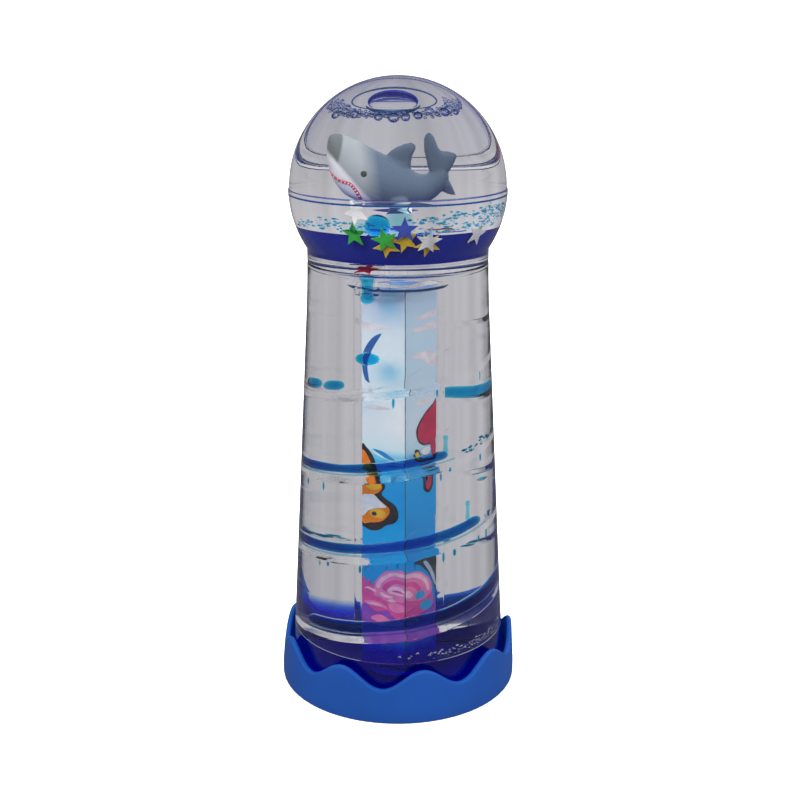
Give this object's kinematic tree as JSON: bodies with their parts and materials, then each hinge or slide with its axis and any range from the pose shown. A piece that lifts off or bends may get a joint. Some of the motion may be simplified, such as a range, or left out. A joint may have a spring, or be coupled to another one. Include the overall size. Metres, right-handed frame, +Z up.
{
  "type": "liquid motion tower",
  "caption": "Clear oil-filled tower with a spiral ramp round a picture column, blue drops running down it, a globe with a floating shark and foil stars, and a wavy base.",
  "frame": {"origin": "centre of the base's underside", "axes": "+Z up along the tower; -Y is the front, where the stars gather and the column shows its edge; +X to the right seen from the front"},
  "size_m": [0.0646, 0.0646, 0.1627],
  "materials": {
    "clear_shell": "polished, clear styrene",
    "clear_insert": "polished, clear styrene",
    "blue_plastic": "satin moulded",
    "plug_rubber": "matte",
    "printed_card": "printed, semi-gloss",
    "blue_liquid": "dyed water-based liquid",
    "shark_vinyl": "painted soft vinyl",
    "silver_foil": "metallised film",
    "gold_foil": "metallised film",
    "green_foil": "metallised film",
    "blue_foil": "metallised film",
    "red_foil": "metallised film"
  },
  "bodies": {
    "root": {"wave_base": "blue_plastic", "tube_shell": "clear_shell", "tube_floor": "clear_shell", "fill_plug": "plug_rubber", "picture_column": "clear_insert", "picture_card": "printed_card", "column_cap": "clear_insert", "spiral_ramp": "clear_insert", "neck_plate": "clear_insert", "drip_nozzle": "clear_insert", "return_nozzle": "clear_insert", "globe_bowl": "clear_shell", "globe_dome": "clear_shell", "reservoir_pool": "blue_liquid", "nozzle_stream": "blue_liquid", "star_red_funnel": "red_foil"},
    "globe_liquid": {"globe_pool": "blue_liquid", "star_white": "silver_foil", "star_green_left": "green_foil", "star_green_front": "green_foil", "star_gold_left": "gold_foil", "star_blue": "blue_foil", "star_gold_middle": "gold_foil", "star_silver_front": "silver_foil", "star_gold_right": "gold_foil", "star_silver_right": "silver_foil", "star_red_flat": "red_foil", "star_blue_flat": "blue_foil"},
    "shark": {"shark": "shark_vinyl"},
    "falling_drop": {"falling_drop": "blue_liquid"},
    "falling_drips": {"upper_drip": "blue_liquid", "lower_drip": "blue_liquid"},
    "ramp_liquid": {"ramp_slug_1": "blue_liquid", "ramp_slug_2": "blue_liquid", "ramp_slug_3": "blue_liquid", "ramp_bead_1": "blue_liquid", "ramp_bead_2": "blue_liquid", "ramp_bead_3": "blue_liquid"}
  },
  "joints": [
    {"name": "pool_swirl", "type": "hinge", "parent": "root", "child": "globe_liquid", "pos_m": [0, 0, 0.1266], "axis": [0, 0, 1], "continuous": true},
    {"name": "shark_bob", "type": "slide", "parent": "globe_liquid", "child": "shark", "axis": [0, 0, 1], "range_m": [-0.002, 0.003], "stiffness_N_per_m": 5, "springref_m": 0.0025},
    {"name": "drop_fall", "type": "slide", "parent": "root", "child": "falling_drop", "axis": [0, 0, -1], "range_m": [-0.011, 0.0045]},
    {"name": "drip_fall", "type": "slide", "parent": "root", "child": "falling_drips", "axis": [0, 0, -1], "range_m": [-0.0018, 0]},
    {"name": "ramp_run", "type": "hinge", "parent": "falling_drips", "child": "ramp_liquid", "pos_m": [0, 0, 0.0229], "axis": [0, 0, 1], "range_deg": [0, 30]}
  ],
  "couplings": [
    {"joint": "drip_fall", "follows": "ramp_run", "m_per_rad": -0.0034377}
  ]
}
